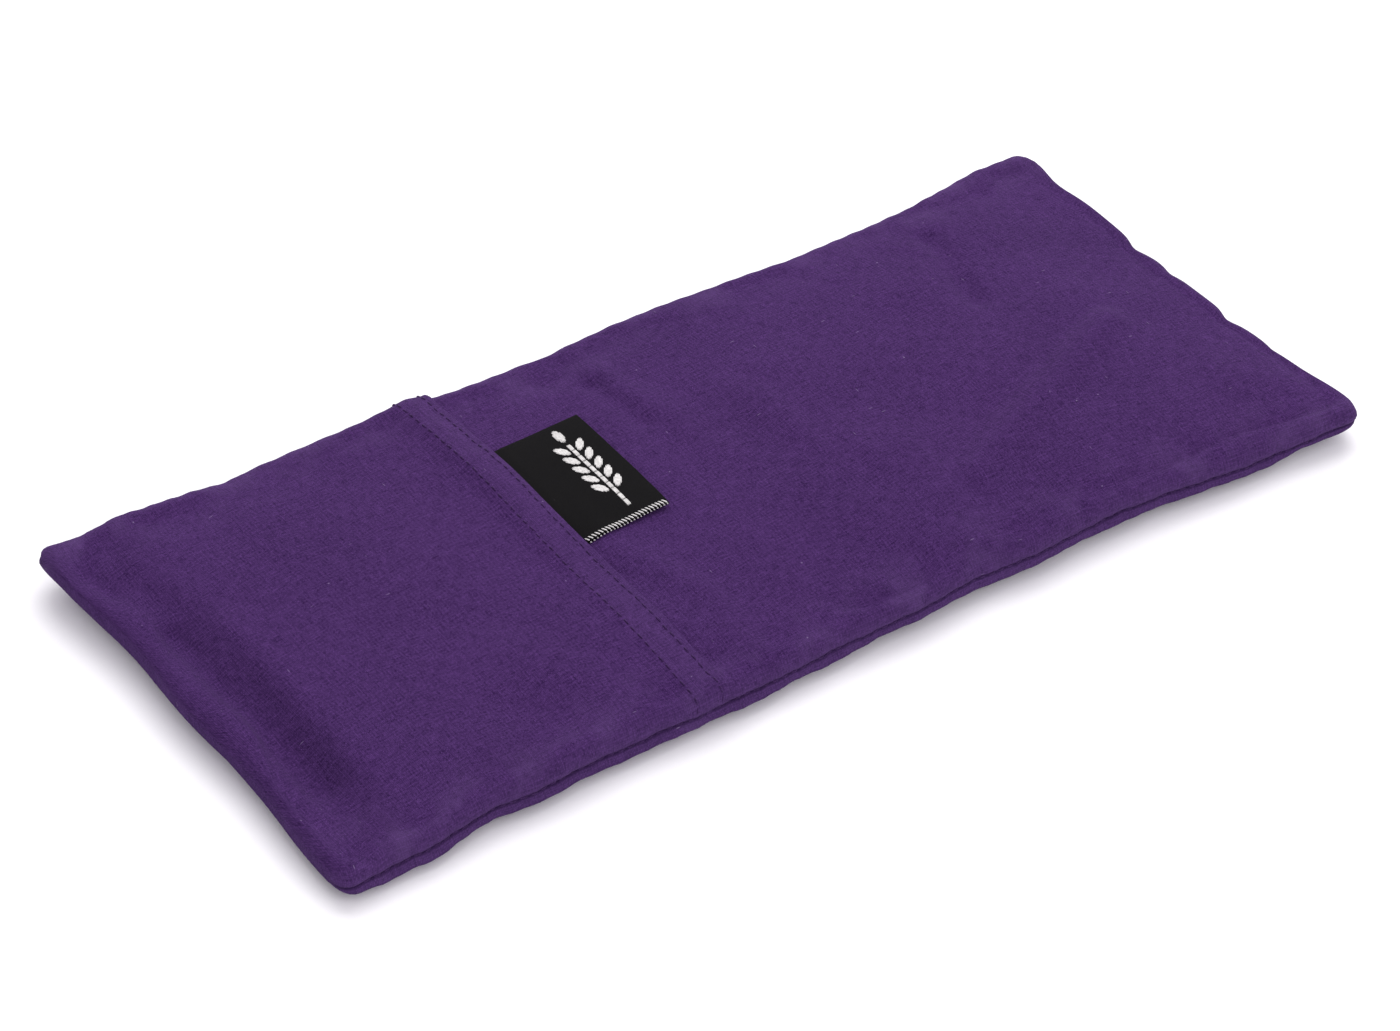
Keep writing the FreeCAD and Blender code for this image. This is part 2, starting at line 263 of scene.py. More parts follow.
def closed_faces(rows, columns):
    """Faces of two grids that share their rims, the second grid's points after the first's.
    Returns the rim's points too."""
    size = rows * columns
    rim = [i * columns + j for i in range(rows) for j in range(columns)
           if i in (0, rows - 1) or j in (0, columns - 1)]
    twin = {size + v: v for v in rim}
    faces = grid_faces(rows, columns) + [f[::-1] for f in grid_faces(rows, columns, size)]
    return [tuple(twin.get(v, v) for v in f) for f in faces], rim


# ---- the pillow's outer surface ----
def end_share(x, low, high):
    """0 at the end folds and 1 where the pillow has its full height, along quarter ellipses."""
    left = np.clip((x - low) / LEFT_ROUND, 0.0, 1.0)
    right = np.clip((high - x) / RIGHT_ROUND, 0.0, 1.0)
    return np.sqrt((1 - (1 - left) ** 2) * (1 - (1 - right) ** 2))


def profile(x, upper, count, inset=0.0, low=None, high=None, half=None):
    """The cross-section at x, from the near seam to the far one, as count evenly spaced points."""
    low = LEFT_X if low is None else low
    high = RIGHT_X if high is None else high
    angle = np.linspace(-math.pi / 2, math.pi / 2, 241)
    from_end = min(x - low, high - x)
    full = TOP_FULLNESS if upper else UNDERSIDE_FULLNESS
    full += END_FULLNESS * math.exp(-from_end / END_REACH)
    across = np.sign(angle) * np.abs(np.sin(angle)) ** (2.0 / full)
    rise = np.abs(np.cos(angle)) ** (2.0 / full)
    to_tip = min(1.0, from_end / CORNER)
    corner = CORNER * (1.0 - math.sqrt(max(0.0, 1.0 - (1.0 - to_tip) ** 2)))
    near_y = -HALF_WIDTH + line(NEAR_SIDE, 1, x) + inset + corner
    far_y = HALF_WIDTH - line(FAR_SIDE, 1, x) - inset - corner
    if half is not None:
        near_y, far_y = max(near_y, -half + corner), min(far_y, half - corner)
    share = (across + 1) / 2
    seam = line(NEAR_SIDE, 2, x) * (1 - share) + line(FAR_SIDE, 2, x) * share
    slant = SLANT * smooth(share, *SLANT_ACROSS) * smooth(-x, *SLANT_ALONG)
    puff = CORNER_PUFF * smooth(share, *PUFF_ACROSS) * smooth(-x, *PUFF_ALONG)
    peak = line(MIDDLE, 1, x + slant) + puff - inset if upper else line(MIDDLE, 2, x) + inset
    height = seam + (peak - seam) * rise * end_share(x, low, high)
    points = np.stack([np.full_like(share, x), near_y + (far_y - near_y) * share, height], 1)
    along = lengths(points)
    return places_at(np.linspace(0.0, along[-1], count), along, points)


def fold_height(x, y):
    """The ridges and valleys of FOLDS, and the lumps that the filling makes."""
    total = sum(height * waves(x, y, length, seed) for height, length, seed in LUMPS)
    for x0, y0, x1, y1, width, height in FOLDS:
        run = np.array([x1 - x0, y1 - y0], float)
        along = np.clip(((x - x0) * run[0] + (y - y0) * run[1]) / (run @ run), 0.0, 1.0)
        gap = np.hypot(x - x0 - along * run[0], y - y0 - along * run[1])
        total = total + height * bell(gap, width)
    return total


def seam_puckers(x, gap, side):
    """Small folds that run in from a side seam; gap is the distance from it over the cloth."""
    drift = 2.2 * waves(x, 0 * x, 60.0, 20 + side)
    wide = np.sin(math.tau * (x + drift) / WIDE_PUCKER) * waves(x, 0 * x, 40.0, 30 + side)
    fine = np.sin(math.tau * (x + drift) / FINE_PUCKER)
    pull = np.cos(math.tau * x / STITCH_PITCH)
    return (WIDE_HEIGHT * wide * bell(gap - WIDE_PLACE, WIDE_REACH)
            + FINE_HEIGHT * fine * bell(gap, FINE_REACH) + PULL_HEIGHT * pull * bell(gap, PULL_REACH))


def end_puckers(x, y):
    """How far along X the two end folds are drawn in at their dips."""
    total = 0.0 * x
    for dips, away, inward in ((LEFT_DIPS, x - LEFT_X, 1.0), (RIGHT_DIPS, RIGHT_X - x, -1.0)):
        depth = sum(deep * bell(y - at, width) for at, deep, width in dips)
        total = total + inward * depth * bell(away, DIP_REACH)
    return total


def panel(xs, upper, rows):
    """The outer surface at the given x, with its ridges, puckers and seam grooves.  Returns it with
    each point's distance over the cloth from the near seam."""
    base = np.array([profile(x, upper, rows) for x in xs])
    steps = np.linalg.norm(np.diff(base, axis=1), axis=2)
    along = np.concatenate([np.zeros((len(xs), 1)), np.cumsum(steps, axis=1)], axis=1)
    near_gap, far_gap = along, along[:, -1:] - along
    x, y = base[:, :, 0], base[:, :, 1]
    tip = smooth(np.minimum(x - LEFT_X, RIGHT_X - x), 0.0, TIP_CALM)
    clear = tip * smooth(np.minimum(near_gap, far_gap), 0.0, SEAM_CALM)
    lump, length, seed = UNDER_LUMPS
    height = clear * (fold_height(x, y) if upper else lump * waves(x, y, length, seed))
    height = height + tip * (seam_puckers(x, near_gap, 0) + seam_puckers(x, far_gap, 1))
    outward = grid_normals(base) * (-1.0 if upper else 1.0)
    points = base + outward * height[:, :, None]
    drawn = SEAM_GROOVE * (1.0 + 0.30 * waves(x, 0 * x, 13.0, 17))
    points[:, :, 1] += drawn * (bell(near_gap, GROOVE_WIDTH) - bell(far_gap, GROOVE_WIDTH))
    if not upper:
        near_lip, far_lip = (smooth(gap, 0.0, LIP_DOWN) * bell(gap - LIP_DOWN, LIP_WIDTH)
                             for gap in (near_gap, far_gap))
        points[:, :, 1] -= LIP * (1.0 + 0.3 * waves(x, 0 * x, 17.0, 13)) * (near_lip - far_lip)
    points[:, :, 0] += end_puckers(x, y)
    return points, along


def hem_edge(y):
    """Where the hem's folded edge lies: it bows, turns and wanders a little."""
    edge_x = HEM_X + HEM_WANDER * waves(y, 0 * y, 38.0, 71) + HEM_BOW * (y / HALF_WIDTH) ** 2
    edge_x = edge_x - HEM_TURN * y / HALF_WIDTH
    return edge_x + LABEL_LEAN * bell(y - LABEL_FAR_Y, LEAN_REACH)


def hem_lift(x, y, edge_x):
    """How far the outer flap's upper face lies above the inner flap."""
    lap = CLOTH * smooth(x, *(INNER_HEM_X + place for place in LAP_SLOPE))
    from_edge = edge_x - x
    band = smooth(-from_edge, *(place - HEM_DEPTH for place in BAND_SLOPE))
    ripple = np.sin(math.tau * (y + 0.7 * from_edge) / ROPING_PITCH + waves(y, 0 * y, 50.0, 61))
    dents = 0.0
    for row in (HEM_X - EDGE_ROW_X, HEM_X - FOLD_ROW_X):
        hold = 0.75 + 0.25 * np.cos(math.tau * y / STITCH_PITCH)
        dents = dents - STITCH_DENT * hold * bell(from_edge - row, DENT_WIDTH)
    over_label = smooth(y, LABEL_NEAR_Y - 3.0, LABEL_NEAR_Y)
    over_label = over_label * smooth(-y, -LABEL_FAR_Y - 3.0, -LABEL_FAR_Y)
    return lap + band * (HEM_RAISE + ROPING * ripple + LABEL_RAISE * over_label) + dents


def end_steps(tip, radius, inward):
    """Places along X that go round an end fold, from the tip inwards."""
    turn = np.linspace(0.0, math.pi / 2, 8)[:-1]
    return tip + inward * radius * (1.0 - np.cos(turn))


def cover_columns():
    """The strip's columns from the turned hem to the hidden hem: x, side, lift over the skin."""
    turned = [(x, "hem", TURN_LIFT) for x in np.arange(HEM_X - HEM_DEPTH, HEM_X - 0.5, GRID)]
    bend = [(HEM_X - TURN_RADIUS * (1.0 - math.sin(turn)), "hem",
             TURN_LIFT + TURN_RADIUS * (1.0 - math.cos(turn)))
            for turn in np.linspace(0.25, math.pi - 0.35, 7)]
    left, right = end_steps(LEFT_X, LEFT_ROUND, 1), end_steps(RIGHT_X, RIGHT_ROUND, -1)
    near_hem = np.arange(HEM_X - 1.1, HEM_X - HEM_DEPTH - 2.0, -0.4)
    flap = np.arange(near_hem[-1] - GRID, LEFT_X + LEFT_ROUND, -GRID)
    under = np.arange(LEFT_X + LEFT_ROUND, RIGHT_X - RIGHT_ROUND, 1.5 * GRID)
    inner = np.arange(RIGHT_X - RIGHT_ROUND, INNER_HEM_X, -GRID)
    columns = turned + bend + [(x, "flap", 0.0) for x in np.concatenate([near_hem, flap, left[::-1]])]
    columns += [(x, "under", 0.0) for x in np.concatenate([left[1:], under, right[::-1]])]
    columns += [(x, "inner", 0.0) for x in np.concatenate([right[1:], inner])]
    return columns


def blur(field, reach, spacing, axis):
    """field with each value averaged over a bell about reach wide along one axis."""
    half = max(1, int(2 * reach / spacing))
    weights = bell(np.arange(-half, half + 1) * spacing, reach)
    weights /= weights.sum()
    padded = np.pad(field, [(half, half) if k == axis else (0, 0) for k in range(field.ndim)], "edge")
    return np.apply_along_axis(lambda v: np.convolve(v, weights, "valid"), axis, padded)


def run_cloth(obj, pinned):
    """Puffs a mesh up as cloth, held at its pinned points, and removes it.  Returns its points."""
    obj.vertex_groups.new(name="pins").add(pinned, 1.0, "REPLACE")
    cloth = obj.modifiers.new("Cloth", "CLOTH").settings
    cloth.quality = 7
    cloth.mass = 0.25
    cloth.tension_stiffness = cloth.compression_stiffness = 12.0
    cloth.shear_stiffness = 4.0
    cloth.bending_stiffness = 0.15
    cloth.shrink_min = -0.014
    cloth.vertex_group_mass = "pins"
    cloth.use_pressure = True
    cloth.uniform_pressure_force = 1.5
    cloth.effector_weights.gravity = 0.0
    scene = bpy.context.scene
    scene.frame_start, scene.frame_end = 1, SIM_FRAMES
    for number in range(1, SIM_FRAMES + 1):
        scene.frame_set(number)
    settled = obj.evaluated_get(bpy.context.evaluated_depsgraph_get()).to_mesh()
    after = np.empty(len(settled.vertices) * 3, dtype=np.float32)
    settled.vertices.foreach_get("co", after)
    scene.frame_set(1)
    mesh = obj.data
    bpy.data.objects.remove(obj)
    bpy.data.meshes.remove(mesh)
    return after.reshape(-1, 3)


def settle_cloth(rows):
    """Lets a coarse cloth copy of the pillow take up its own small folds.  Returns places along X
    and, for each side, how far the cloth moved there and at rows places across."""
    xs = np.concatenate([end_steps(LEFT_X, LEFT_ROUND, 1)[::3],
                         np.linspace(LEFT_X + LEFT_ROUND, RIGHT_X - RIGHT_ROUND, SIM_COLUMNS),
                         end_steps(RIGHT_X, RIGHT_ROUND, -1)[::-3]])
    grids = [panel(xs, upper, SIM_ROWS)[0] for upper in (True, False)]
    points = np.concatenate([grid.reshape(-1, 3) for grid in grids])
    count, size = len(xs), len(xs) * SIM_ROWS
    faces, rim = closed_faces(count, SIM_ROWS)
    seams = [i * SIM_ROWS + j for i in range(count) for j in (0, SIM_ROWS - 1)]
    after = run_cloth(mesh_object("settling_cloth", points * SIM_SCALE, faces), seams)
    moved = after / (SIM_SCALE * MM) - points
    moved[[size + v for v in rim]] = moved[rim]

    fine = np.arange(LEFT_X, RIGHT_X + GRID, GRID)
    given, wanted = np.linspace(0.0, 1.0, SIM_ROWS), np.linspace(0.0, 1.0, rows)
    fields = {}
    for side, part in (("upper", moved[:size]), ("under", moved[size:])):
        part = part.reshape(count, SIM_ROWS, 3)
        part = np.apply_along_axis(lambda v: np.interp(fine, xs, v), 0, part)
        part = np.apply_along_axis(lambda v: np.interp(wanted, given, v), 1, part)
        part = part - blur(blur(part, SIM_BROAD, GRID, 0), SIM_BROAD, GRID, 1)
        part = blur(blur(part, SIM_SOFT, GRID, 0), SIM_SOFT, GRID, 1)
        reach = np.linalg.norm(part, axis=2, keepdims=True)
        fields[side] = part * np.minimum(1.0, SIM_CAP / np.maximum(reach, 1e-9))
    return fine, fields


def add_settling(points, gap, xs, under):
    """Moves the cover's points as the settled cloth moved, less near the seams and the label."""
    places, fields = settle_cloth(points.shape[1])
    nearest = np.clip(np.searchsorted(places, xs) - 1, 0, len(places) - 2)
    share = ((xs - places[nearest]) / GRID)[:, None, None]
    from_label = np.hypot((points[:, :, 0] - (HEM_X + LABEL_END_X) / 2) / CALM_REACH[0],
                          (points[:, :, 1] - (LABEL_NEAR_Y + LABEL_FAR_Y) / 2) / CALM_REACH[1])
    free = smooth(gap, 0.0, 4.0) * (1.0 - LABEL_CALM * np.exp(-from_label ** 4))
    for chosen, field in ((under, fields["under"]), (~under, fields["upper"])):
        moved = field[nearest] * (1.0 - share) + field[nearest + 1] * share
        points[chosen] += (moved * free[:, :, None])[chosen]


def lay_hem(points, gap, columns):
    """Lifts the outer flap and its hem over the inner flap, and moves them to the hem's edge."""
    fade = smooth(gap, 0.0, 2.5)
    edge_x = hem_edge(points[:, :, 1])
    lift = hem_lift(points[:, :, 0], points[:, :, 1], edge_x)
    for i, (x, side, height) in enumerate(columns):
        if side == "flap":
            points[i, :, 2] += lift[i] * fade[i]
            points[i, :, 0] += (edge_x[i] - HEM_X) * smooth(x, HEM_X - 14.0, HEM_X)
        elif side == "hem":
            points[i, :, 2] += height * fade[i]
            points[i, :, 0] += edge_x[i] - HEM_X


def cover():
    """The cover's strip of cloth.  Returns it with the grids that the stitches lie on."""
    rows = int(CLOTH_WIDTH / GRID) + 1
    columns = cover_columns()
    xs = np.array([x for x, _, _ in columns])
    sides = np.array([side for _, side, _ in columns])
    under = sides == "under"
    points = np.empty((len(xs), rows, 3))
    along = np.empty((len(xs), rows))
    # panel() takes its places in order along X, so the upper columns are sorted and put back
    order = np.argsort(xs[~under])
    upper_grid, upper_along = panel(xs[~under][order], True, rows)
    back = np.empty(len(order), int)
    back[order] = np.arange(len(order))
    points[~under], along[~under] = upper_grid[back], upper_along[back]
    points[under], along[under] = panel(xs[under], False, rows)

    gap = np.minimum(along, along[:, -1:] - along)
    add_settling(points, gap, xs, under)
    lay_hem(points, gap, columns)
    points[:, :, 2] = np.maximum(points[:, :, 2], FLOOR_GAP)

    flat = flat_cloth(lengths(points[:, rows // 2]), along)
    obj = mesh_object("cover_strip", points, grid_faces(len(xs), rows), flat)
    obj.data.flip_normals()
    from_seam = obj.data.attributes.new("from_seam", "FLOAT", "POINT")
    from_seam.data.foreach_set("value", gap.astype(np.float32).ravel())
    return obj, {side: points[sides == side] for side in ("flap", "under", "inner")}


# ---- threads ----
def thread_mesh(name, runs, radius=THREAD_RADIUS, sides=6):
    """Short round threads along runs of points, tapered where they go into the cloth."""
    points, faces = [], []
    for run in runs:
        run = np.asarray(run, float)
        ahead = np.gradient(run, axis=0)
        ahead /= np.linalg.norm(ahead, axis=1, keepdims=True)
        guide = [0.0, 0.0, 1.0] if abs(ahead[:, 2]).max() < 0.9 else [1.0, 0.0, 0.0]
        right = np.cross(ahead, guide)
        right /= np.linalg.norm(right, axis=1, keepdims=True)
        above = np.cross(right, ahead)
        first = len(points)
        for k in range(len(run)):
            thick = radius * (THREAD_TAPER if k in (0, len(run) - 1) else 1.0)
            for turn in np.linspace(0.0, math.tau, sides, endpoint=False):
                points.append(run[k] + thick * (math.cos(turn) * right[k] + math.sin(turn) * above[k]))
        for k in range(len(run) - 1):
            for s in range(sides):
                a, b = first + k * sides + s, first + k * sides + (s + 1) % sides
                faces.append((a, b, b + sides, a + sides))
        faces.append(tuple(first + s for s in reversed(range(sides))))
        last = first + (len(run) - 1) * sides
        faces.append(tuple(last + s for s in range(sides)))
    return mesh_object(name, points, faces)


def stitch_runs(path, normals, pitch=STITCH_PITCH, length=STITCH_LENGTH, rise=0.1, dive=0.16):
    """Cuts a path into stitches that rise over the cloth and dive into it at both ends."""
    along = lengths(path)
    arch = np.array([-dive, rise * 0.8, rise, rise * 0.8, -dive])
    runs = []
    for start in np.arange(0.0, along[-1] - length, pitch):
        at = start + np.linspace(0.0, length, len(arch))
        runs.append(places_at(at, along, path) + places_at(at, along, normals) * arch[:, None])
    return runs


def across(grid, x):
    """The line across a grid of points at x, with its normals, from the near seam to the far one."""
    middle = grid[:, grid.shape[1] // 2, 0]
    k = int(np.argmin(np.abs(middle - x)))
    side = 1 if middle[min(k + 1, len(middle) - 1)] > middle[k - 1] else -1
    normals = grid_normals(grid)[k] * side
    normals *= np.sign(normals[:, 2:3].mean())
    return grid[k], normals


def height_on(grid, x, y):
    """Height of a grid of points at one x and one or more y."""
    grid = grid[np.argsort(grid[:, grid.shape[1] // 2, 0])]
    middle = grid[:, grid.shape[1] // 2, 0]
    k = np.clip(np.searchsorted(middle, x) - 1, 0, len(middle) - 2)
    share = np.clip((x - middle[k]) / (middle[k + 1] - middle[k]), 0.0, 1.0)
    low = np.interp(y, grid[k, :, 1], grid[k, :, 2])
    high = np.interp(y, grid[k + 1, :, 1], grid[k + 1, :, 2])
    return low * (1 - share) + high * share


def hem_threads(grids):
    """The outer hem's two rows, each with the CAD node that it replaces."""
    for name, node, x in (("hem_edge_stitches", "hem_edge_thread", EDGE_ROW_X),
                          ("hem_fold_stitches", "hem_fold_thread", FOLD_ROW_X)):
        path, normals = across(grids["flap"], x)
        yield thread_mesh(name, stitch_runs(path[1:-1], normals[1:-1])), node


def inner_hem_threads(grids):
    """The hidden hem's two rows as one piece, with its CAD node."""
    runs = []
    for x in INNER_ROWS_X:
        path, normals = across(grids["inner"], x)
        runs += stitch_runs(path[6:-6] - 0.5 * normals[6:-6], -normals[6:-6])
    yield thread_mesh("inner_hem_stitches", runs), "inner_hem_thread"


def seam_threads(grids):
    """The stitches that show in the side seams' grooves, with their CAD nodes."""
    for side, column, outward in (("front", 0, -1.0), ("back", -1, 1.0)):
        path = grids["under"][6:-6, column]
        normals = np.tile([0.0, outward, 0.0], (len(path), 1))
        runs = stitch_runs(path, normals, rise=0.08, dive=0.14)
        yield thread_mesh(side + "_seam_stitches", runs), side + "_seam_thread"


def overlock_threads(grids):
    """Zigzag loops round the raw edges, with their CAD nodes."""
    for side, column, inward in (("front", 0, 1.0), ("back", -1, -1.0)):
        path = grids["under"][12:-12, column]
        runs = []
        for x in np.arange(path[0, 0], path[-1, 0] - 3.0, LOOP_PITCH):
            y = np.interp(x, path[:, 0], path[:, 1]) + inward * ALLOWANCE
            z = np.interp(x, path[:, 0], path[:, 2]) - 0.4
            runs.append([(x, y - inward * 2.0, z + 0.55), (x + 0.7, y, z + 0.55),
                         (x + 0.9, y + inward * 0.35, z), (x + 1.1, y, z - 0.55),
                         (x + 1.8, y - inward * 2.0, z - 0.55)])
        yield thread_mesh(side + "_overlock_loops", runs, LOOP_RADIUS, sides=5), side + "_seam_overlock"


# ---- label ----
RIBBON = 0.20             # one layer of the ribbon
RIBBON_GAP = 0.30         # between the middles of its two layers
RIBBON_CLEAR, FREE_CLEAR = 0.06, 0.10    # it lies this far off the cloth, the free part more
FOLD_RISE = 0.40          # its folded edge lifts this much
FOLD_WAVE, FOLD_WAVE_LENGTH = 0.06, 24.0
CORNER_CURL = 0.25        # and the edge's near corner curls up, over these lengths
CURL_REACH = (9.0, 7.0)
BUD_PAIRS, BUD_STEP = 5, 3.2
BUD_LENGTH, BUD_WIDTH = 3.1, 1.45
TIP_LENGTH, TIP_WIDTH = 4.2, 1.7
BUD_FLOATS = (-0.86, -0.5, -0.17, 0.17, 0.5, 0.86)    # places across a bud, from side to side
STEM_FLOATS = (-0.26, 0.0, 0.26)
FLOAT_DIP = 0.07          # a float's ends go this far down into the ribbon


def label_height(grids, x, y):
    """Underside of the ribbon: it spans the inner flap's hollows and lifts towards its fold."""
    out = smooth(x, HEM_X, LABEL_END_X)
    from_corner = ((x - LABEL_END_X) / CURL_REACH[0]) ** 2 + ((y - LABEL_NEAR_Y) / CURL_REACH[1]) ** 2
    curl = CORNER_CURL * np.exp(-from_corner)
    wave = FOLD_WAVE * np.sin(math.tau * (y - LABEL_NEAR_Y) / FOLD_WAVE_LENGTH)
    free = smooth(x, HEM_X - 0.5, HEM_X + 1.5)
    under, at_hem, at_fold = (height_on(grids["inner"], place, y) for place in (x, HEM_X, LABEL_END_X))
    straight = at_hem + (at_fold - at_hem) * np.clip((x - HEM_X) / (LABEL_END_X - HEM_X), 0.0, 1.0)
    # the larger of 0 and the gap under the straight line, softened where they meet
    span = 0.5 * (straight - under + np.sqrt((straight - under) ** 2 + 0.04))
    clear = RIBBON_CLEAR + FREE_CLEAR * free
    return under + span * free + clear + FOLD_RISE * out ** 1.5 + curl + wave * out


def lean(obj):
    """Slants a piece of the label along the hem, whose edge it follows."""
    for vertex in obj.data.vertices:
        share = (vertex.co.y / MM - LABEL_NEAR_Y) / (LABEL_FAR_Y - LABEL_NEAR_Y)
        vertex.co.x += LABEL_LEAN * MM * share
    return obj


def label_ribbon(grids):
    """Both layers of the folded ribbon, from one cut end under the hem to the other."""
    half = RIBBON_GAP / 2
    end = LABEL_END_X - half
    out = np.arange(LABEL_TAIL_X, end, 0.4)
    fold = [(end + half * math.cos(turn), half * (1 + math.sin(turn)))
            for turn in np.linspace(-math.pi / 2, math.pi / 2, 7)]
    path = [(x, 0.0) for x in out] + fold + [(x, RIBBON_GAP) for x in out[::-1]]
    rows = np.linspace(LABEL_NEAR_Y, LABEL_FAR_Y, 60)
    points = []
    for x, lift in path:
        z = label_height(grids, min(x, end), rows) + lift
        points.append(np.stack([np.full_like(rows, x), rows, z], 1))
    points = np.array(points)
    flat = flat_cloth(lengths(points[:, len(rows) // 2]), points[:, :, 1])
    obj = mesh_object("woven_label", points, grid_faces(len(path), len(rows)), flat)
    solid = obj.modifiers.new("thickness", "SOLIDIFY")
    solid.thickness = RIBBON * MM
    solid.offset = 0.0
    return obj


def label_selvage(grids):
    """The white yarn that wraps the ribbon's near edge in slanted turns."""
    runs = []
    edge = LABEL_NEAR_Y
    for x in np.arange(HEM_X + 0.5, LABEL_END_X - 0.5, 0.74):
        z = float(label_height(grids, x, edge + 0.4))
        low, high = z - RIBBON / 2 - 0.04, z + RIBBON_GAP + RIBBON / 2 + 0.05
        wrap = [(1.15, high - 0.06), (0.9, high), (0.3, high), (-0.1, (low + high) / 2), (0.3, low),
                (0.9, low)]
        runs.append([(x + 0.55 * (1.15 - y), edge + y, height) for y, height in wrap])
    return thread_mesh("label_selvage_yarn", runs, 0.14)


def strand(grids, start, end):
    """One white float of the motif on the label's upper face, from place to place."""
    start, end = np.array(start, float), np.array(end, float)
    run = []
    for share in np.linspace(0.0, 1.0, 7):
        x, y = start + (end - start) * share
        dip = FLOAT_DIP * abs(2 * share - 1) ** 6
        z = float(label_height(grids, x, y)) + RIBBON_GAP + RIBBON / 2 + 0.02 - dip
        run.append((x, y, z))
    return run


def bud_floats(grids, root, tip, width):
    """One oval bud as floats laid side by side, the outer ones shorter."""
    root, tip = np.array(root, float), np.array(tip, float)
    along = tip - root
    aside = np.array([-along[1], along[0]]) / np.linalg.norm(along) * width / 2
    runs = []
    for k in BUD_FLOATS:
        trim = along * 0.5 * (1.0 - math.sqrt(1.0 - k * k))
        runs.append(strand(grids, root + trim + aside * k, tip - trim + aside * k))
    return runs


def label_sprig(grids):
    """A plain sprig of lavender: a stem of short floats, oval buds in pairs and one at the tip."""
    middle = (MOTIF_LOW[0] + MOTIF_HIGH[0]) / 2
    spread = (MOTIF_HIGH[0] - MOTIF_LOW[0]) / 2
    low, high = MOTIF_LOW[1], MOTIF_HIGH[1]
    runs = []
    for start in np.arange(low, high - 5.6, 1.9):
        runs += [strand(grids, (middle + side, start), (middle + side, start + 1.8))
                 for side in STEM_FLOATS]
    for pair in range(BUD_PAIRS):
        y = low + 5.4 + BUD_STEP * pair
        for side in (-1, 1):
            runs += bud_floats(grids, (middle + side * 0.30 * spread, y),
                               (middle + side * 0.92 * spread, y + BUD_LENGTH), BUD_WIDTH)
    runs += bud_floats(grids, (middle, high - TIP_LENGTH), (middle, high), TIP_WIDTH)
    return thread_mesh("label_sprig", runs, 0.15)


# ---- inner pillow, hidden in the cover ----
FULL_INSET = 2.0          # a form with this inset just reaches the inner bag's ends and sides


def inner_form(name, inset, lump, seed):
    """A closed form inset within the cover, with lumps of height lump.  Returns its top too."""
    rows, further = 41, inset - FULL_INSET
    low, high, half = BAG_LEFT_X + further, BAG_RIGHT_X - further, BAG_HALF_WIDTH - further
    xs = np.concatenate([end_steps(low, LEFT_ROUND, 1),
                         np.linspace(low + LEFT_ROUND, high - RIGHT_ROUND, 90),
                         end_steps(high, RIGHT_ROUND, -1)[::-1]])
    sides = []
    for upper in (True, False):
        grid = np.array([profile(x, upper, rows, inset, low, high, half) for x in xs])
        inside = grid[:, 1:-1]
        inside[:, :, 2] += (lump * waves(inside[:, :, 0], inside[:, :, 1], 6.0, seed)
                            * end_share(inside[:, :, 0], low, high))
        grid[:, :, 2] = np.maximum(grid[:, :, 2], 0.4 * inset)
        sides.append(grid)
    faces, _ = closed_faces(len(xs), rows)
    points = np.stack(sides)
    obj = mesh_object(name, points, faces, points)
    obj.data.flip_normals()
    drop_loose(obj)
    obj.modifiers.new("smooth", "SUBSURF").levels = 1
    return obj, sides[0]


def drop_loose(obj):
    """Removes points that no face uses."""
    used = {v for polygon in obj.data.polygons for v in polygon.vertices}
    work = bmesh.new()
    work.from_mesh(obj.data)
    work.verts.ensure_lookup_table()
    bmesh.ops.delete(work, geom=[v for v in work.verts if v.index not in used], context="VERTS")
    work.to_mesh(obj.data)
    work.free()


def bag_threads(top):
    """The inner bag's seam and closing row on its top grid, each with its CAD node."""
    edge = np.concatenate([top[:, 0], top[-1, 1:], top[::-1, -1][1:], top[0, ::-1][1:]])
    middle = top.reshape(-1, 3).mean(axis=0)
    outward = (edge - middle) * [0.3, 1.0, 0.0]
    outward /= np.linalg.norm(outward, axis=1, keepdims=True)
    runs = stitch_runs(edge, outward, pitch=2.6, length=2.0)
    yield thread_mesh("bag_seam_stitches", runs), "inner_bag_seam_thread"
    path, normals = across(top, CLOSING_X)
    runs = stitch_runs(path[3:-3], normals[3:-3])
    yield thread_mesh("bag_closing_stitches", runs), "inner_bag_closing_thread"


